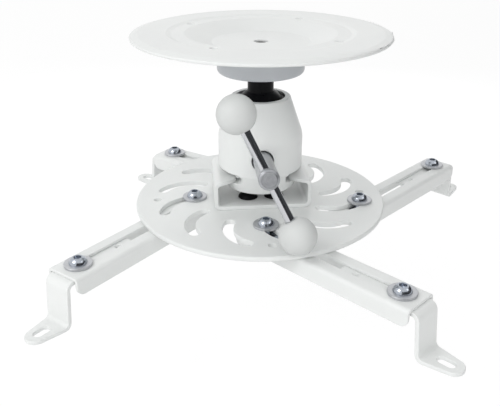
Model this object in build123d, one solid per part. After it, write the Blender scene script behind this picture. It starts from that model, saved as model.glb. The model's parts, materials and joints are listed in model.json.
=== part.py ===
from build123d import *
import os
from math import cos, radians, sin, sqrt

# Projector ceiling mount, in millimetres. The origin is the centre of the ceiling plate's top face,
# +Z points up into the ceiling, and the clamp handle faces -Y.

# Ceiling plate, a shallow dish pressed from sheet steel
plate_diameter = 157.5
plate_thickness = 2.0
plate_rim_width = 5.0
plate_rim_drop = 1.2
plate_rim_round = 0.8
plate_land_diameter = 114.0
plate_step_run = 3.0
plate_step_depth = 0.8
recess_mouth_diameter = 92.0
recess_floor_diameter = 60.0
recess_depth = 6.3
plate_bend_radius = 4.0
plate_hole_diameter = 5.0
plate_hole_circle = 102.0
plate_hole_count = 4
plate_hole_angle = 54.0

# Collar, a turned spacer under the plate
collar_diameter = 54.0
collar_height = 16.6
collar_edge_radius = 2.5

# Ball stud, turned from one bar
neck_diameter = 16.3
neck_length = 25.9
ball_diameter = 33.0
spigot_diameter = 8.4
spigot_recess = 1.0
spigot_chamfer = 0.8

# Ball liners, two spherical rings between the ball and its housing
liner_thickness = 1.0
liner_rise = 9.4
liner_drop = 11.0

# Clamp housing, one casting
housing_diameter = 54.0
housing_rim_diameter = 37.4
housing_rise = 10.9
cone_drop = 13.1
shoulder_drop = 34.9
housing_drop = 47.5
base_diameter = 45.0
flange_thickness = 5.7
tongue_width = 28.0
groove_radius = 2.5
bore_diameter = 34.4
rim_radius = 1.1
cone_blend_radius = 14.0
shoulder_radius = 2.0

# Plunger and plug inside the housing's bore
plug_thickness = 5.0
plug_key_hole_diameter = 4.0
plug_key_hole_spacing = 18.0
plunger_flat_gap = 0.3

# Clamp screw, its axis crossing the ball's axis below the ball
clamp_drop = 28.6
clamp_tilt = 11.5
clamp_turn = -2.8
clamp_screw_diameter = 11.8
clamp_screw_end = 81.1
clamp_screw_tip = 6.0
clamp_point_length = 5.0
clamp_end_chamfer = 0.8
clamp_mouth_diameter = 13.6
clamp_mouth_depth = 6.0

# Tommy bar and its two knobs
bar_diameter = 5.6
bar_end_inset = 5.5
bar_angle = 26.1
bar_upper_reach = 38.5
bar_lower_reach = 36.9
bar_knob_depth = 6.0
knob_diameter = 21.8
knob_flat = 0.9

# Quick-release bracket, a lipped channel bent from sheet
bracket_width = 62.4
bracket_height = 19.5
bracket_depth = 45.0
bracket_front = 20.6
bracket_thickness = 2.6
bracket_bend_radius = 2.0
lip_lead = 5.6
bracket_screw_spacing = 17.0
bracket_screw_front = 6.0
bracket_head_diameter = 13.0
bracket_head_height = 3.6

# Slotted disc
disc_diameter = 164.0
disc_thickness = 3.2
disc_edge_radius = 1.2
slot_count = 12
slot_width = 6.7
slot_inner_radius = 43.5
slot_outer_radius = 66.0
slot_start_angle = -1.2
slot_sweep = 18.6
slot_arc_radius = 21.5
disc_hole_diameter = 5.0
disc_hole_circle = 136.0
disc_hole_count = 4

# Arms, inverted channels under the disc
arm_width = 24.0
arm_height = 11.0
arm_thickness = 2.0
arm_bend_radius = 0.8
arm_slot_run = 101.0
arm_slot_end = 11.5
arm_corner_radius = 5.0

# Feet, strips bent to a Z that slide inside the arms
foot_width = 18.0
foot_thickness = 2.5
foot_tail = 40.0
foot_tail_hole_inset = 10.0
foot_tail_hole_diameter = 4.0
foot_leg_reach = 16.0
foot_leg_lean = 2.5
foot_drop = 28.2
foot_bend_radius = 2.5
pad_tip_reach = 39.5
pad_tip_radius = 6.3
pad_slot_reach = 29.6
pad_slot_length = 10.2
pad_slot_width = 5.6

# Socket button-head screws, washers and nuts
screw_diameter = 6.0
head_diameter = 10.5
head_height = 3.3
head_crown_diameter = 5.6
head_dome_radius = 4.6
socket_width = 4.0
socket_depth = 2.1
screw_tail = 1.0
washer_diameter = 16.0
washer_hole_diameter = 6.4
washer_thickness = 1.6
washer_chamfer = 0.3
nut_width = 10.0
nut_height = 5.0
nut_corner_diameter = 11.2
nut_chamfer = 0.5
slide_nut_length = 14.0
slide_nut_side_gap = 0.3
screw_hole_gap = 0.2

# Clearances, each side
running_gap = 0.05
slide_gap = 0.1
tongue_gap = 3.0
point_gap = 0.3

# Each arm: which disc slot, how far along it as a share of its sweep, the arm's direction in degrees,
# and how far it is pushed in from its longest reach
ARMS = {
    "left_front": (6, 0.0, 228.5, 0.8),
    "right_front": (9, 0.0, 309.6, 3.1),
    "right_back": (11, 1.0, 41.0, 6.2),
    "left_back": (3, 0.0, 141.0, 25.6),
}

# Heights down the stack
plate_under = -recess_depth - plate_thickness
collar_under = plate_under - collar_height
ball_height = collar_under - neck_length
housing_base = ball_height - housing_drop
flange_top = housing_base + flange_thickness
bracket_top = flange_top + slide_gap + bracket_thickness
disc_top = bracket_top - bracket_height
disc_under = disc_top - disc_thickness
arm_roof = disc_under - arm_thickness

# Radii of the ball joint, from the ball outwards
ball_radius = ball_diameter / 2
inner_liner_bore = ball_radius + running_gap
outer_liner_bore = inner_liner_bore + liner_thickness + running_gap
seat_radius = outer_liner_bore + liner_thickness + running_gap

UPWARD = (Align.CENTER, Align.CENTER, Align.MIN)
DOWNWARD = (Align.CENTER, Align.CENTER, Align.MAX)


def rod(diameter, low, high, x=0.0, y=0.0):
    """Upright cylinder between two heights."""
    return Pos(x, y, low) * Cylinder(diameter / 2, high - low, align=UPWARD)


def turned(outline, rounds):
    """Solid turned about Z from (radius, height) points, with chosen corners rounded."""
    face = make_face(Polyline(*outline, close=True))
    for corner, radius in rounds.items():
        x, z = outline[corner]
        face = fillet(face.vertices().sort_by_distance((x, z, 0))[0], radius)
    return revolve(Plane.XZ * face, Axis.Z)


def sheet_section(points, radii, thickness, side):
    """Section of bent sheet with one face on a path whose corners are rounded."""
    path = FilletPolyline(*points, radius=radii)
    return make_face(path.offset_2d(thickness, side=side, closed=True))


def hexagon(width, low, high):
    """Upright hexagonal prism measured across its flats."""
    return extrude(Pos(0, 0, low) * RegularPolygon(width / 2, 6, major_radius=False), high - low)


def export(name, shape):
    """One STEP file for each named piece."""
    export_step(shape, f"parts/{name}.step")


def build_ceiling_plate():
    plate_radius = plate_diameter / 2
    land_radius = plate_land_diameter / 2
    top_face = [
        (spigot_diameter / 2 + running_gap, -recess_depth),
        (recess_floor_diameter / 2, -recess_depth),
        (recess_mouth_diameter / 2, -plate_step_depth),
        (land_radius - plate_step_run, -plate_step_depth),
        (land_radius, 0),
        (plate_radius - plate_rim_width, 0),
        (plate_radius, -plate_rim_drop),
    ]
    section = sheet_section(top_face, plate_bend_radius, plate_thickness, Side.RIGHT)
    rim_corners = section.vertices().sort_by(Axis.X)[-2:]
    section = fillet(rim_corners, plate_rim_round)
    plate = revolve(Plane.XZ * section, Axis.Z)
    hole = rod(plate_hole_diameter, plate_under, 0)
    holes = PolarLocations(plate_hole_circle / 2, plate_hole_count, plate_hole_angle)
    return plate - [spot * hole for spot in holes]


def build_collar():
    outer = collar_diameter / 2
    inner = spigot_diameter / 2 + running_gap
    outline = [(inner, collar_under), (outer, collar_under), (outer, plate_under), (inner, plate_under)]
    return turned(outline, {1: collar_edge_radius})


def build_ball_stud():
    spigot_top = -recess_depth - spigot_recess
    neck = rod(neck_diameter, ball_height, collar_under)
    spigot = rod(spigot_diameter, collar_under, spigot_top)
    spigot = chamfer(spigot.edges().group_by(Axis.Z)[-1], spigot_chamfer)
    return Pos(0, 0, ball_height) * Sphere(ball_radius) + neck + spigot


def build_liner(bore):
    shell = Sphere(bore + liner_thickness) - Sphere(bore)
    band = rod(housing_diameter, -liner_drop, liner_rise)
    return Pos(0, 0, ball_height) * (shell & band)


def clamp_frame():
    """Local frame of the clamp screw: origin on the ball's axis, Z outwards along the screw, Y up."""
    tilt = radians(clamp_tilt)
    turn = radians(clamp_turn)
    sideways = (cos(turn), sin(turn), 0)
    outward = (sin(turn) * cos(tilt), -cos(turn) * cos(tilt), sin(tilt))
    return Plane(origin=(0, 0, ball_height - clamp_drop), x_dir=sideways, z_dir=outward)


def build_housing():
    outer = housing_diameter / 2
    bore = bore_diameter / 2
    top = ball_height + housing_rise
    shoulder = ball_height - shoulder_drop
    mouth = sqrt(seat_radius**2 - housing_rise**2)
    outline = [
        (bore, housing_base),
        (base_diameter / 2, housing_base),
        (outer, shoulder),
        (outer, ball_height - cone_drop),
        (housing_rim_diameter / 2, top),
        (mouth, top),
        (bore, ball_height),
    ]
    rounds = {2: shoulder_radius, 3: cone_blend_radius, 4: rim_radius}
    body = turned(outline, rounds) - Pos(0, 0, ball_height) * Sphere(seat_radius)
    side_cut = Pos(tongue_width / 2, 0, flange_top) * Box(
        outer, housing_diameter, shoulder - flange_top, align=(Align.MIN, Align.CENTER, Align.MIN)
    )
    side_cut = fillet(side_cut.edges().filter_by(Axis.Y).group_by(Axis.X)[0], groove_radius)
    surface = outer / cos(radians(clamp_tilt))
    thread = Cylinder(clamp_screw_diameter / 2 + running_gap, housing_diameter, align=UPWARD)
    mouth_start = surface - clamp_mouth_depth
    clamp_mouth = Pos(0, 0, mouth_start) * Cylinder(clamp_mouth_diameter / 2, outer, align=UPWARD)
    clamp_hole = clamp_frame() * (thread + clamp_mouth)
    return body - side_cut - mirror(side_cut, Plane.YZ) - clamp_hole


def bore_blank(low, high):
    """Cylinder that fits the housing's bore, with two flats inside the width of the tongue."""
    across_flats = tongue_width - 2 * plunger_flat_gap
    flats = Pos(0, 0, low) * Box(across_flats, bore_diameter, high - low, align=UPWARD)
    return rod(bore_diameter - 2 * running_gap, low, high) & flats


def build_plunger():
    low = housing_base + plug_thickness + point_gap
    cup_drop = sqrt(seat_radius**2 - (bore_diameter / 2) ** 2)
    blank = bore_blank(low, ball_height - cup_drop - point_gap)
    point = clamp_point()
    socket = Cylinder(clamp_screw_diameter / 2 + point_gap, housing_diameter, align=UPWARD)
    socket = Pos(0, 0, clamp_screw_tip + clamp_point_length) * socket
    point_room = offset(point, point_gap)
    return blank - Pos(0, 0, ball_height) * Sphere(seat_radius) - clamp_frame() * (socket + point_room)


def clamp_point():
    """Conical point of the clamp screw, in the clamp's frame."""
    base_radius = clamp_screw_diameter / 2
    cone = Cone(base_radius - clamp_point_length / 2, base_radius, clamp_point_length, align=UPWARD)
    return Pos(0, 0, clamp_screw_tip) * cone


def build_plug():
    blank = bore_blank(housing_base, housing_base + plug_thickness)
    key_hole = rod(plug_key_hole_diameter, housing_base, housing_base + plug_thickness / 2)
    half = plug_key_hole_spacing / 2
    return blank - Pos(0, half, 0) * key_hole - Pos(0, -half, 0) * key_hole


def bar_frame():
    """Local frame of the tommy bar in the clamp's frame: Z along the bar towards its upper knob."""
    angle = radians(bar_angle)
    centre = (0, 0, clamp_screw_end - bar_end_inset)
    return Plane(origin=centre, x_dir=(0, 0, 1), z_dir=(-sin(angle), cos(angle), 0))


def build_clamp_screw():
    shank_start = clamp_screw_tip + clamp_point_length
    shank = Cylinder(clamp_screw_diameter / 2, clamp_screw_end - shank_start, align=UPWARD)
    shank = Pos(0, 0, shank_start) * shank
    shank = chamfer(shank.edges().group_by(Axis.Z)[-1], clamp_end_chamfer)
    cross_hole = Cylinder(bar_diameter / 2 + running_gap, 2 * clamp_screw_diameter)
    return clamp_frame() * (shank + clamp_point() - bar_frame() * cross_hole)


def bar_ends():
    """Ends of the tommy bar along itself, each sunk into its knob."""
    sunk = knob_diameter / 2 - bar_knob_depth
    return -bar_lower_reach + sunk, bar_upper_reach - sunk


def build_tommy_bar():
    low, high = bar_ends()
    return clamp_frame() * bar_frame() * rod(bar_diameter, low, high)


def build_knob(reach):
    """Ball knob at a signed distance along the bar, with a flat around the bar's hole."""
    radius = knob_diameter / 2
    towards_screw = -1 if reach > 0 else 1
    flat = Pos(0, 0, towards_screw * (radius - knob_flat)) * Box(
        knob_diameter, knob_diameter, knob_diameter, align=UPWARD if towards_screw > 0 else DOWNWARD
    )
    low, high = bar_ends()
    ball = Pos(0, 0, reach) * (Sphere(radius) - flat)
    hole = rod(bar_diameter + 2 * running_gap, low, high)
    return clamp_frame() * bar_frame() * (ball - hole)


def build_bracket():
    half = bracket_width / 2
    lip = tongue_width / 2 + tongue_gap
    outer_bend = bracket_bend_radius + bracket_thickness
    outside = [
        (-lip, bracket_top),
        (-half, bracket_top),
        (-half, disc_top),
        (half, disc_top),
        (half, bracket_top),
        (lip, bracket_top),
    ]
    section = sheet_section(outside, outer_bend, bracket_thickness, Side.LEFT)
    back = bracket_depth - bracket_front
    body = extrude(Plane.XZ.offset(-back) * section, bracket_depth)
    lead = make_face(
        Polyline(
            (half - outer_bend, -bracket_front),
            (lip, -bracket_front),
            (lip, -bracket_front + lip_lead),
            close=True,
        )
    )
    lead_cut = extrude(Pos(0, 0, bracket_top - bracket_thickness) * lead, bracket_thickness)
    body = body - lead_cut - mirror(lead_cut, Plane.YZ)
    return body - bracket_screw_holes(disc_top, disc_top + bracket_thickness)


def bracket_screw_places():
    """Places of the two screws that join the bracket to the disc."""
    half = bracket_screw_spacing / 2
    return [Pos(-half, -bracket_screw_front, 0), Pos(half, -bracket_screw_front, 0)]


def bracket_screw_holes(low, high):
    """Clearance holes for the bracket's two screws."""
    hole = rod(screw_diameter + 2 * screw_hole_gap, low, high)
    return [place * hole for place in bracket_screw_places()]


def polar(radius, angle):
    """Point at a radius and an angle in degrees."""
    return radius * cos(radians(angle)), radius * sin(radians(angle))


def slot_arc(index):
    """Centre line of one curved disc slot, from its inner to its outer end."""
    start = slot_start_angle + index * 360 / slot_count
    inner = polar(slot_inner_radius, start)
    outer = polar(slot_outer_radius, start + slot_sweep)
    return RadiusArc(inner, outer, -slot_arc_radius)


def build_disc():
    disc = rod(disc_diameter, disc_under, disc_top)
    disc = fillet(disc.edges().filter_by(GeomType.CIRCLE), disc_edge_radius)
    slots = [SlotArc(slot_arc(index), slot_width) for index in range(slot_count)]
    disc = disc - [extrude(Pos(0, 0, disc_under) * slot, disc_thickness) for slot in slots]
    hole = rod(disc_hole_diameter, disc_under, disc_top)
    disc = disc - [spot * hole for spot in PolarLocations(disc_hole_circle / 2, disc_hole_count)]
    return disc - bracket_screw_holes(disc_under, disc_top)


def build_button_screw(seat, tip, diameter, height):
    """Dome-headed socket screw whose head stands on the seat height and whose shank ends at the tip."""
    edge = diameter / 2
    crown = head_crown_diameter / 2
    inside = Polyline((crown, height), (0, height), (0, 0), (edge, 0))
    dome = make_face(inside + RadiusArc((edge, 0), (crown, height), -head_dome_radius))
    head = revolve(Plane.XZ * dome, Axis.Z) - hexagon(socket_width, height - socket_depth, height)
    return Pos(0, 0, seat) * head + rod(screw_diameter, tip, seat)


def build_washer(seat):
    ring = Cylinder(washer_diameter / 2, washer_thickness, align=UPWARD)
    ring = chamfer(ring.edges().group_by(Axis.Z)[-1], washer_chamfer)
    return Pos(0, 0, seat) * ring - rod(washer_hole_diameter, seat, seat + washer_thickness)


def build_hex_nut(top):
    low = top - nut_height
    turned_blank = rod(nut_corner_diameter, low, top)
    turned_blank = chamfer(turned_blank.edges().filter_by(GeomType.CIRCLE), nut_chamfer)
    nut = hexagon(nut_width, low, top) & turned_blank
    return nut - rod(screw_diameter + 2 * running_gap, low, top)


def build_slide_nut():
    """Oblong nut that the arm's walls keep from turning, under the arm's roof."""
    width = arm_width - 2 * arm_thickness - 2 * slide_nut_side_gap
    block = Box(slide_nut_length, width, nut_height, align=DOWNWARD)
    long_edges = block.edges().filter_by(Axis.X).group_by(Axis.Z)[-1]
    block = Pos(0, 0, arm_roof) * chamfer(long_edges, arm_bend_radius)
    return block - rod(screw_diameter + 2 * running_gap, arm_roof - nut_height, arm_roof)


def build_arm():
    """Arm in its own frame: the foot screw's outermost place at the origin, X outwards along the arm."""
    half = arm_width / 2
    bend = arm_bend_radius + arm_thickness
    low = disc_under - arm_height
    outside = [(-half, low), (-half, disc_under), (half, disc_under), (half, low)]
    section = sheet_section(outside, bend, arm_thickness, Side.RIGHT)
    length = arm_slot_run + 2 * arm_slot_end
    inner_end = -arm_slot_run - arm_slot_end
    channel = extrude(Plane.YZ.offset(inner_end) * section, length)
    side = Pos(inner_end + length / 2, disc_under - arm_height / 2) * Rectangle(length, arm_height)
    side = fillet(side.vertices().group_by(Axis.Y)[0], arm_corner_radius)
    channel = channel & extrude(Plane.XZ * side, half, both=True)
    slot = Pos(-arm_slot_run / 2, 0, arm_roof) * SlotCenterToCenter(arm_slot_run, slot_width)
    return channel - extrude(slot, arm_thickness)


def build_foot():
    """Foot in the arm's frame, its screw hole at the origin."""
    low = arm_roof - foot_drop
    pad_top = low + foot_thickness
    leg_bottom = foot_leg_reach + foot_leg_lean
    top_face = [
        (-foot_tail, arm_roof),
        (foot_leg_reach, arm_roof),
        (leg_bottom, pad_top),
        (pad_tip_reach, pad_top),
    ]
    radii = [foot_bend_radius + foot_thickness, foot_bend_radius]
    section = sheet_section(top_face, radii, foot_thickness, Side.RIGHT)
    strip = extrude(Plane.XZ * section, foot_width / 2, both=True)
    straight = Rectangle(foot_tail + leg_bottom, foot_width, align=(Align.MIN, Align.CENTER))
    straight = Pos(-foot_tail, 0) * straight
    tip = Pos(pad_tip_reach - pad_tip_radius, 0) * Circle(pad_tip_radius)
    plan = make_hull(straight.edges() + tip.edges())
    strip = strip & extrude(Pos(0, 0, low) * plan, foot_drop)
    screw_hole = rod(screw_diameter + 2 * screw_hole_gap, arm_roof - foot_thickness, arm_roof)
    tail_hole_place = -foot_tail + foot_tail_hole_inset
    tail_hole = rod(foot_tail_hole_diameter, arm_roof - foot_thickness, arm_roof, tail_hole_place)
    pad_slot = Pos(pad_slot_reach, 0, low) * SlotOverall(pad_slot_length, pad_slot_width)
    return strip - screw_hole - tail_hole - extrude(pad_slot, foot_thickness)


def build_arm_group(name, index, travel, direction, pushed_in):
    """One arm with its screw in the disc slot, its slide nut and the foot that slides in it."""
    screw_place = slot_arc(index) @ travel
    at_screw = Pos(screw_place.X, screw_place.Y, 0) * Rot(0, 0, direction)
    at_foot = at_screw * Pos(arm_slot_run - pushed_in, 0, 0)
    arm_tip = arm_roof - nut_height - screw_tail
    foot_nut_top = arm_roof - foot_thickness
    foot_tip = foot_nut_top - nut_height - screw_tail
    arm_seat = disc_top + washer_thickness
    foot_seat = disc_under + washer_thickness
    arm_screw = build_button_screw(arm_seat, arm_tip, head_diameter, head_height)
    foot_screw = build_button_screw(foot_seat, foot_tip, head_diameter, head_height)
    export(f"{name}_arm_screw", at_screw * arm_screw)
    export(f"{name}_arm_washer", at_screw * build_washer(disc_top))
    export(f"{name}_slide_nut", at_screw * build_slide_nut())
    export(f"{name}_arm", at_foot * build_arm())
    export(f"{name}_foot", at_foot * build_foot())
    export(f"{name}_foot_screw", at_foot * foot_screw)
    export(f"{name}_foot_washer", at_foot * build_washer(disc_under))
    export(f"{name}_foot_nut", at_foot * build_hex_nut(foot_nut_top))


def build_bracket_fasteners():
    """Two black screws down through the bracket and the disc, and their nuts under the disc."""
    seat = disc_top + bracket_thickness
    tip = disc_under - nut_height - screw_tail
    screw = build_button_screw(seat, tip, bracket_head_diameter, bracket_head_height)
    nut = build_hex_nut(disc_under)
    places = bracket_screw_places()
    export("bracket_screws", Compound([place * screw for place in places]))
    export("bracket_nuts", Compound([place * nut for place in places]))


os.makedirs("parts", exist_ok=True)
export("ceiling_plate", build_ceiling_plate())
export("collar", build_collar())
export("ball_stud", build_ball_stud())
export("inner_ball_liner", build_liner(inner_liner_bore))
export("outer_ball_liner", build_liner(outer_liner_bore))
export("clamp_housing", build_housing())
export("clamp_plunger", build_plunger())
export("housing_plug", build_plug())
export("clamp_screw", build_clamp_screw())
export("tommy_bar", build_tommy_bar())
export("upper_knob", build_knob(bar_upper_reach))
export("lower_knob", build_knob(-bar_lower_reach))
export("bracket", build_bracket())
export("slotted_disc", build_disc())
build_bracket_fasteners()
for arm_name, arm_setting in ARMS.items():
    build_arm_group(arm_name, *arm_setting)
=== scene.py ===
import json
import math

import bmesh
import bpy
from mathutils import Matrix, Vector

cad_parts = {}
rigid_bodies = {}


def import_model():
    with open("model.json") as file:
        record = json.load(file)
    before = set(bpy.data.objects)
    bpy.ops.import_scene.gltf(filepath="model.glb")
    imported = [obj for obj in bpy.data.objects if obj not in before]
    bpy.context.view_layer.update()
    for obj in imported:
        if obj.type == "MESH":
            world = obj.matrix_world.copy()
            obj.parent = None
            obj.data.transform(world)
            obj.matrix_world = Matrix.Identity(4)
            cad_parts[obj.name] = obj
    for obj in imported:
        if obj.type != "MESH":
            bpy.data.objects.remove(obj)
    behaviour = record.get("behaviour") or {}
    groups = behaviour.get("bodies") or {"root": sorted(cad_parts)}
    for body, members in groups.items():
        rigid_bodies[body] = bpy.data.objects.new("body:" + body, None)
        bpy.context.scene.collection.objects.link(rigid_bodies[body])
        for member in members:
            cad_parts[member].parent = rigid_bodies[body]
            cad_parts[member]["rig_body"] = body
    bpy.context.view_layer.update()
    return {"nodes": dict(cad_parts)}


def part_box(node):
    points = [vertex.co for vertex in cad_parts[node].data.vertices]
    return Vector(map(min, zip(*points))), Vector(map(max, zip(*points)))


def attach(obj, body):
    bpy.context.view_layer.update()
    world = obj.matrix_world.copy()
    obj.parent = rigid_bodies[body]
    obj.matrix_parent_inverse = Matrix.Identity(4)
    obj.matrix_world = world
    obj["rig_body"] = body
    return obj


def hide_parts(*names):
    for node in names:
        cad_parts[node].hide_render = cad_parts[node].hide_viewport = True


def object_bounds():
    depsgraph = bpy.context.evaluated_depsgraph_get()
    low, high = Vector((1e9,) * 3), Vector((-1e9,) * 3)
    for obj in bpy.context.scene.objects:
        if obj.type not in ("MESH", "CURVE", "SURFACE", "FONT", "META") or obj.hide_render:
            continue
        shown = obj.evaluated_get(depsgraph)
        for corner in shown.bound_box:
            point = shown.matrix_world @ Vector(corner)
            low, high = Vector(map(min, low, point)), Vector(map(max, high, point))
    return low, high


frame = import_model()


# Ceiling plate: a shallow dish pressed from sheet steel, with a white powder coat baked on.
# Four screws hold it to the ceiling through the holes round its middle.
def shader(name):
    """New material, with its nodes, links and surface shader."""
    material = bpy.data.materials.new(name)
    material.use_nodes = True
    tree = material.node_tree
    return material, tree.nodes, tree.links, tree.nodes["Principled BSDF"]


def surface_noise(nodes, links, scale, detail, stretch=(1, 1, 1)):
    """Noise fixed to the piece, its output from 0 to 1."""
    place = nodes.new("ShaderNodeTexCoord")
    mapping = nodes.new("ShaderNodeMapping")
    mapping.inputs["Scale"].default_value = stretch
    noise = nodes.new("ShaderNodeTexNoise")
    noise.inputs["Scale"].default_value = scale
    noise.inputs["Detail"].default_value = detail
    links.new(place.outputs["Object"], mapping.inputs["Vector"])
    links.new(mapping.outputs["Vector"], noise.inputs["Vector"])
    return noise.outputs["Fac"]


noise_low = 0.3
noise_high = 0.7


def between(nodes, links, value, low, high):
    """Number that runs from low to high as the noise does."""
    span = nodes.new("ShaderNodeMapRange")
    span.inputs["From Min"].default_value = noise_low
    span.inputs["From Max"].default_value = noise_high
    span.inputs["To Min"].default_value = low
    span.inputs["To Max"].default_value = high
    links.new(value, span.inputs["Value"])
    return span.outputs["Result"]


def tint(nodes, links, value, low, high):
    """Colour that runs from low to high as the noise does."""
    ramp = nodes.new("ShaderNodeValToRGB")
    ramp.color_ramp.elements[0].position = noise_low
    ramp.color_ramp.elements[1].position = noise_high
    ramp.color_ramp.elements[0].color = (*low, 1)
    ramp.color_ramp.elements[1].color = (*high, 1)
    links.new(value, ramp.inputs["Fac"])
    return ramp.outputs["Color"]


def raised(nodes, links, value, height, strength, under=None):
    """Relief of that height in metres, over another relief if there is one."""
    bump = nodes.new("ShaderNodeBump")
    bump.inputs["Distance"].default_value = height
    bump.inputs["Strength"].default_value = strength
    links.new(value, bump.inputs["Height"])
    if under:
        links.new(under, bump.inputs["Normal"])
    return bump.outputs["Normal"]


def powder_coat(name, pale, shaded, grain):
    """Baked powder: soft sheen over a fine orange-peel surface."""
    material, nodes, links, bsdf = shader(name)
    drift = surface_noise(nodes, links, 24, 3)
    peel = surface_noise(nodes, links, grain, 2)
    links.new(tint(nodes, links, drift, shaded, pale), bsdf.inputs["Base Color"])
    links.new(between(nodes, links, peel, 0.28, 0.4), bsdf.inputs["Roughness"])
    links.new(raised(nodes, links, peel, 0.0001, 0.3), bsdf.inputs["Normal"])
    bsdf.inputs["Specular IOR Level"].default_value = 0.35
    return material


def dress(material, *names):
    """Gives CAD nodes their finish."""
    for name in names:
        mesh = frame["nodes"][name].data
        mesh.materials.clear()
        mesh.materials.append(material)


merge_distance = 0.000002
flat_angle = math.radians(0.03)
corner_angle = math.radians(60)
crease_angle = math.radians(50)


def merged(node):
    """A CAD node's mesh as one closed form, its flat faces whole."""
    form = bmesh.new()
    form.from_mesh(frame["nodes"][node].data)
    bmesh.ops.remove_doubles(form, verts=form.verts, dist=merge_distance)
    bmesh.ops.dissolve_limit(form, angle_limit=flat_angle, verts=form.verts, edges=form.edges)
    return form


def ease_edges(form, width, segments):
    """Rounds the corners that the press or the mould left, as the finish covers them."""
    seams = [edge for edge in form.edges if edge.is_manifold]
    corners = [edge for edge in seams if edge.calc_face_angle() > corner_angle]
    bmesh.ops.bevel(
        form,
        geom=corners,
        offset=width,
        segments=segments,
        profile=0.5,
        affect="EDGES",
        material=-1,
    )


def settle(form, node, finish):
    """Piece from a form, in place of its CAD node: smooth over its bends and even on its faces."""
    mesh = bpy.data.meshes.new(f"{node}_finished")
    form.to_mesh(mesh)
    form.free()
    mesh.shade_smooth()
    mesh.set_sharp_from_angle(angle=crease_angle)
    mesh.materials.append(finish)
    piece = bpy.data.objects.new(mesh.name, mesh)
    bpy.context.scene.collection.objects.link(piece)
    even = piece.modifiers.new("even_faces", "WEIGHTED_NORMAL")
    even.keep_sharp = True
    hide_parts(node)
    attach(piece, frame["nodes"][node]["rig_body"])
    return piece


def finished(node, width, finish, segments=3):
    """CAD node with its corners eased and its finish on."""
    form = merged(node)
    ease_edges(form, width, segments)
    return settle(form, node, finish)


pressed_corner = 0.0004
sheet_white = powder_coat("white_powder_coat", (0.79, 0.805, 0.795), (0.76, 0.775, 0.768), 900)
finished("ceiling_plate", pressed_corner, sheet_white)

# Collar: a spacer turned from steel, its coat painted a darker grey as painted shade from the plate
# above.
# The ball stud's spigot passes through it and holds it against the plate.
turned_corner = 0.0004
# The darker grey of this coat is painted shade under the plate.
collar_painted_shade = powder_coat("collar_coat", (0.54, 0.56, 0.585), (0.5, 0.52, 0.545), 1100)
finished("collar", turned_corner, collar_painted_shade)


# Ball stud: neck, ball and spigot turned from one steel bar and blackened in hot oil.
# Its spigot is pressed through the collar into the plate, and its ball hangs the rest.
def blackened_steel(name, colour, low, high):
    """Black oxide with faint turning marks."""
    material, nodes, links, bsdf = shader(name)
    rings = surface_noise(nodes, links, 260, 2, stretch=(0.05, 0.05, 8))
    patch = surface_noise(nodes, links, 90, 3)
    bsdf.inputs["Base Color"].default_value = (*colour, 1)
    bsdf.inputs["Specular IOR Level"].default_value = 0.1
    links.new(between(nodes, links, patch, low, high), bsdf.inputs["Roughness"])
    links.new(raised(nodes, links, rings, 0.00005, 0.25), bsdf.inputs["Normal"])
    return material


ball_black = blackened_steel("blackened_ball", (0.004, 0.004, 0.005), 0.25, 0.4)
finished("ball_stud", turned_corner, ball_black)

# Ball liners: two thin rings moulded in black acetal.
# They sit between the ball and its seat, one inside the other, and let it turn.
liner_material, nodes, links, bsdf = shader("liner_acetal")
liner_grain = surface_noise(nodes, links, 300, 2)
liner_colour = tint(nodes, links, liner_grain, (0.012, 0.012, 0.012), (0.02, 0.02, 0.02))
links.new(liner_colour, bsdf.inputs["Base Color"])
bsdf.inputs["Roughness"].default_value = 0.4
dress(liner_material, "inner_ball_liner", "outer_ball_liner")

# Clamp housing: one die casting in white powder coat that grips the ball.
# Its flange slides into the bracket below.
cast_corner = 0.0006
cast_white = powder_coat("white_casting", (0.8, 0.815, 0.805), (0.77, 0.785, 0.778), 620)
finished("clamp_housing", cast_corner, cast_white)


# Plunger and plug: turned aluminium, inside the housing's bore.
# The clamp screw's point lifts the plunger against the ball, and the plug closes the bore.
def bare_metal(name, colour, darker, low, high, stretch, metal=1.0):
    """Machined or plated metal with fine marks along one direction."""
    material, nodes, links, bsdf = shader(name)
    marks = surface_noise(nodes, links, 700, 2, stretch=stretch)
    links.new(tint(nodes, links, marks, darker, colour), bsdf.inputs["Base Color"])
    bsdf.inputs["Metallic"].default_value = metal
    links.new(between(nodes, links, marks, low, high), bsdf.inputs["Roughness"])
    links.new(raised(nodes, links, marks, 0.00004, 0.2), bsdf.inputs["Normal"])
    return material


turned_aluminium = bare_metal(
    "turned_aluminium", (0.6, 0.6, 0.61), (0.5, 0.5, 0.51), 0.3, 0.45, (0.1, 0.1, 4)
)
dress(turned_aluminium, "clamp_plunger", "housing_plug")

# Clamp screw: turned steel bar, cross-drilled for the tommy bar and threaded into the housing.
# Its outer end is faced on a lathe, which leaves fine rings.
machined_corner = 0.0002
clamp_steel = bare_metal(
    "clamp_steel", (0.44, 0.45, 0.47), (0.37, 0.38, 0.4), 0.3, 0.42, (1, 0.1, 1), metal=0.6
)
clamp_form = merged("clamp_screw")
outer_end = -0.07
outer_faces = [face for face in clamp_form.faces if face.calc_center_median().y < outer_end]
end_face = max(outer_faces, key=lambda face: face.calc_area())
ring_count = 4
ring_spacing = 0.0009
groove_slope = 0.00012
groove_depth = 0.00008
for ring in range(ring_count):
    for width, depth in ((ring_spacing, 0), (groove_slope, -groove_depth), (groove_slope, groove_depth)):
        bmesh.ops.inset_individual(clamp_form, faces=[end_face], thickness=width, depth=depth)
ease_edges(clamp_form, machined_corner, 2)
settle(clamp_form, "clamp_screw", clamp_steel)

# Tommy bar: a steel rod, polished and chromed.
# It slides in the clamp screw's cross hole and is pressed into a knob at each end.
bar_chrome = bare_metal("bar_chrome", (0.62, 0.63, 0.65), (0.56, 0.57, 0.59), 0.07, 0.13, (1, 1, 0.06))
dress(bar_chrome, "tommy_bar")

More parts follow.
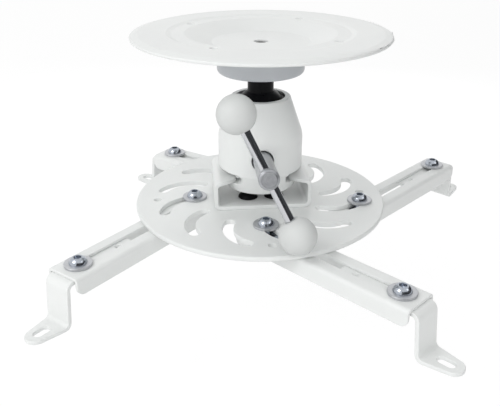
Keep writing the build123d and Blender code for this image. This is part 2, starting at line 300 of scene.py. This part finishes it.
# Knobs: balls moulded in white plastic, with a fine grain from the mould.
# Each has a small flat round the bar's hole.
moulded_corner = 0.0004
knob_white, nodes, links, bsdf = shader("knob_plastic")
knob_grain = surface_noise(nodes, links, 1500, 2)
knob_drift = surface_noise(nodes, links, 60, 2)
knob_colour = tint(nodes, links, knob_drift, (0.6, 0.614, 0.607), (0.63, 0.645, 0.637))
links.new(knob_colour, bsdf.inputs["Base Color"])
links.new(between(nodes, links, knob_grain, 0.5, 0.62), bsdf.inputs["Roughness"])
links.new(raised(nodes, links, knob_grain, 0.00004, 0.3), bsdf.inputs["Normal"])
finished("upper_knob", moulded_corner, knob_white)
finished("lower_knob", moulded_corner, knob_white)

# Quick-release bracket and slotted disc: bent and punched sheet in the plate's coat,
# held together by two black screws with nuts under the disc.
punched_corner = 0.0005
finished("bracket", punched_corner, sheet_white)
finished("slotted_disc", punched_corner, sheet_white)
screw_black = blackened_steel("blackened_screws", (0.006, 0.006, 0.007), 0.3, 0.45)
zinc_plate = bare_metal("zinc_plate", (0.48, 0.51, 0.56), (0.39, 0.42, 0.47), 0.14, 0.24, (1, 1, 1))
washer_zinc = bare_metal("washer_zinc", (0.6, 0.61, 0.63), (0.52, 0.53, 0.55), 0.34, 0.48, (1, 1, 1))

m6 = 0.006
thread_pitch = 0.001
thread_depth = 0.0002
thread_steps = 20
thread_start = 0.0003
plain_shank = 0.006
screw_corner = 0.00015


def wind_thread(form, place, low, high, diameter):
    """Adds a rolled thread to an upright shank: a ridge wound round it between two heights."""
    core = diameter / 2 - thread_depth
    crest = diameter / 2
    x, y = place
    foot = [form.verts.new((x + core, y, low + share * thread_pitch)) for share in (0.05, 0.95)]
    tip = form.verts.new((x + crest, y, low + thread_pitch / 2))
    start = form.faces.new((foot[0], tip, foot[1]))
    turns = (high - low) / thread_pitch - 1
    count = int(thread_steps * turns)
    bmesh.ops.spin(
        form,
        geom=[start, *start.edges, *start.verts],
        cent=(x, y, 0),
        axis=(0, 0, 1),
        dvec=(0, 0, thread_pitch / thread_steps),
        angle=math.tau * count / thread_steps,
        steps=count,
        use_merge=False,
    )


def screws(node, finish, places, head_height, diameter):
    """Socket screws of one CAD node with their threads wound on."""
    form = merged(node)
    ease_edges(form, screw_corner, 2)
    low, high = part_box(node)
    for place in places:
        wind_thread(form, place, low.z + thread_start, high.z - head_height - plain_shank, diameter)
    bmesh.ops.recalc_face_normals(form, faces=form.faces)
    return settle(form, node, finish)


def middle(node):
    """Middle of a node in plan."""
    low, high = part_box(node)
    return (low.x + high.x) / 2, (low.y + high.y) / 2


low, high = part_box("bracket_screws")
bracket_head = 0.013
bracket_head_height = 0.0036
row = (low.y + high.y) / 2
bracket_places = [(low.x + bracket_head / 2, row), (high.x - bracket_head / 2, row)]
screws("bracket_screws", screw_black, bracket_places, bracket_head_height, m6)
finished("bracket_nuts", machined_corner, zinc_plate, 2)

# Arms and feet: slotted channels under the disc, each with a stepped strip that slides inside it.
# Zinc-plated socket screws with washers clamp them from above into nuts.
arm_head_height = 0.0033
for arm in ("left_front", "right_front", "right_back", "left_back"):
    finished(f"{arm}_arm", punched_corner, sheet_white)
    finished(f"{arm}_foot", punched_corner, sheet_white)
    for use in ("arm", "foot"):
        screw = f"{arm}_{use}_screw"
        screws(screw, zinc_plate, [middle(screw)], arm_head_height, m6)
        finished(f"{arm}_{use}_washer", machined_corner, washer_zinc, 2)
    finished(f"{arm}_slide_nut", machined_corner, zinc_plate, 2)
    finished(f"{arm}_foot_nut", machined_corner, zinc_plate, 2)

# Studio: a pale floor with room for the mount to lean, a white surround, softboxes on both sides
# and at the back, a larger one behind the camera, and two dark cards for the polished metal,
# of which the right one also shades the paint.
leaning_room = 0.06
floor_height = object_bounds()[0][2] - leaning_room


def flat_card(name, place, size, turn):
    """Flat rectangular card of that size, turned and placed."""
    mesh = bpy.data.meshes.new(name)
    form = bmesh.new()
    bmesh.ops.create_grid(form, x_segments=1, y_segments=1, size=0.5)
    bmesh.ops.scale(form, vec=(*size, 1), verts=form.verts)
    bmesh.ops.transform(form, matrix=Matrix.Translation(place) @ turn, verts=form.verts)
    form.to_mesh(mesh)
    form.free()
    card = bpy.data.objects.new(name, mesh)
    bpy.context.scene.collection.objects.link(card)
    return card


floor = flat_card("floor", (0, 0, floor_height), (12, 12), Matrix.Identity(4))
floor_material, nodes, links, bsdf = shader("pale_floor")
bsdf.inputs["Base Color"].default_value = (0.9, 0.9, 0.9, 1)
bsdf.inputs["Roughness"].default_value = 0.9
bsdf.inputs["Specular IOR Level"].default_value = 0.0


def seen_directly(nodes, links):
    """1 for rays from the camera, mirrors and glass, 0 for the rest."""
    path = nodes.new("ShaderNodeLightPath")
    first = nodes.new("ShaderNodeMath")
    first.operation = "MAXIMUM"
    second = nodes.new("ShaderNodeMath")
    second.operation = "MAXIMUM"
    links.new(path.outputs["Is Camera Ray"], first.inputs[0])
    links.new(path.outputs["Is Glossy Ray"], first.inputs[1])
    links.new(first.outputs[0], second.inputs[0])
    links.new(path.outputs["Is Transmission Ray"], second.inputs[1])
    return second.outputs[0]


glow = nodes.new("ShaderNodeEmission")
glow.inputs["Color"].default_value = (1, 1, 1, 1)
glow.inputs["Strength"].default_value = 1.05
share = nodes.new("ShaderNodeMath")
share.operation = "MULTIPLY"
share.inputs[1].default_value = 0.85
links.new(seen_directly(nodes, links), share.inputs[0])
blend = nodes.new("ShaderNodeMixShader")
links.new(share.outputs[0], blend.inputs[0])
links.new(bsdf.outputs[0], blend.inputs[1])
links.new(glow.outputs[0], blend.inputs[2])
links.new(blend.outputs[0], nodes["Material Output"].inputs["Surface"])
floor.data.materials.append(floor_material)

world = bpy.data.worlds.new("surround")
bpy.context.scene.world = world
world.use_nodes = True
nodes, links = world.node_tree.nodes, world.node_tree.links
fill = nodes["Background"]
fill.inputs["Color"].default_value = (1, 1, 1, 1)
fill.inputs["Strength"].default_value = 0.67
white = nodes.new("ShaderNodeBackground")
white.inputs["Color"].default_value = (1, 1, 1, 1)
white.inputs["Strength"].default_value = 1.0
swap = nodes.new("ShaderNodeMixShader")
links.new(seen_directly(nodes, links), swap.inputs[0])
links.new(fill.outputs[0], swap.inputs[1])
links.new(white.outputs[0], swap.inputs[2])
links.new(swap.outputs[0], nodes["World Output"].inputs["Surface"])

card_black, nodes, links, bsdf = shader("card_black")
bsdf.inputs["Base Color"].default_value = (0.085, 0.087, 0.092, 1)
bsdf.inputs["Specular IOR Level"].default_value = 0.0
upright = Matrix.Rotation(math.radians(90), 4, "X")
sideways = Matrix.Rotation(math.radians(90), 4, "Z") @ upright
for name, place, size, turn, shades in (
    ("dark_card_front", (0.35, -1.1, 0.3), (1.5, 0.9), upright, False),
    ("dark_card_right", (1.1, 0.1, 0.3), (2.4, 0.9), sideways, True),
):
    card = flat_card(name, place, size, turn)
    card.data.materials.append(card_black)
    card.visible_camera = False
    card.visible_diffuse = shades
    card.visible_shadow = False


mount_middle = Vector((0, 0, -0.08))


def softbox(name, place, size, power):
    """Square lamp aimed at the middle of the mount."""
    lamp = bpy.data.lights.new(name, "AREA")
    lamp.size = size
    lamp.energy = power
    holder = bpy.data.objects.new(name, lamp)
    aim = (mount_middle - Vector(place)).to_track_quat("-Z", "Y")
    holder.matrix_world = Matrix.Translation(place) @ aim.to_matrix().to_4x4()
    bpy.context.scene.collection.objects.link(holder)
    return holder


softbox("key", (-0.75, -0.4, 0.6), 0.5, 3.2)
softbox("side", (0.75, -0.35, 0.6), 0.35, 0.5)
back = softbox("back", (0.1, 0.6, 0.15), 0.4, 1.2)
back.visible_glossy = False
front = softbox("front_fill", (0, -1.05, 0.35), 1.0, 3.6)
front.visible_glossy = False

# Camera: a little to the left of the handle and above the ceiling plate, as the photograph was taken.
# Its place and lens were fitted to the plate's and the disc's outlines and to the screws.
camera_data = bpy.data.cameras.new("camera")
camera_data.lens = 47.36
camera_data.sensor_width = 36
camera_data.sensor_fit = "HORIZONTAL"
camera_data.shift_y = -0.00837
camera_data.clip_start = 0.01
camera = bpy.data.objects.new("camera", camera_data)
forward = Vector((0.08509, 0.89931, -0.42896)).normalized()
right = forward.cross(Vector((0, 0, 1))).normalized()
above = right.cross(forward)
turn = Matrix((right, above, -forward)).transposed().to_4x4()
camera.matrix_world = Matrix.Translation((-0.04428, -0.3976, 0.07804)) @ turn
bpy.context.scene.collection.objects.link(camera)
bpy.context.scene.camera = camera
bpy.context.scene.view_settings.view_transform = "Standard"
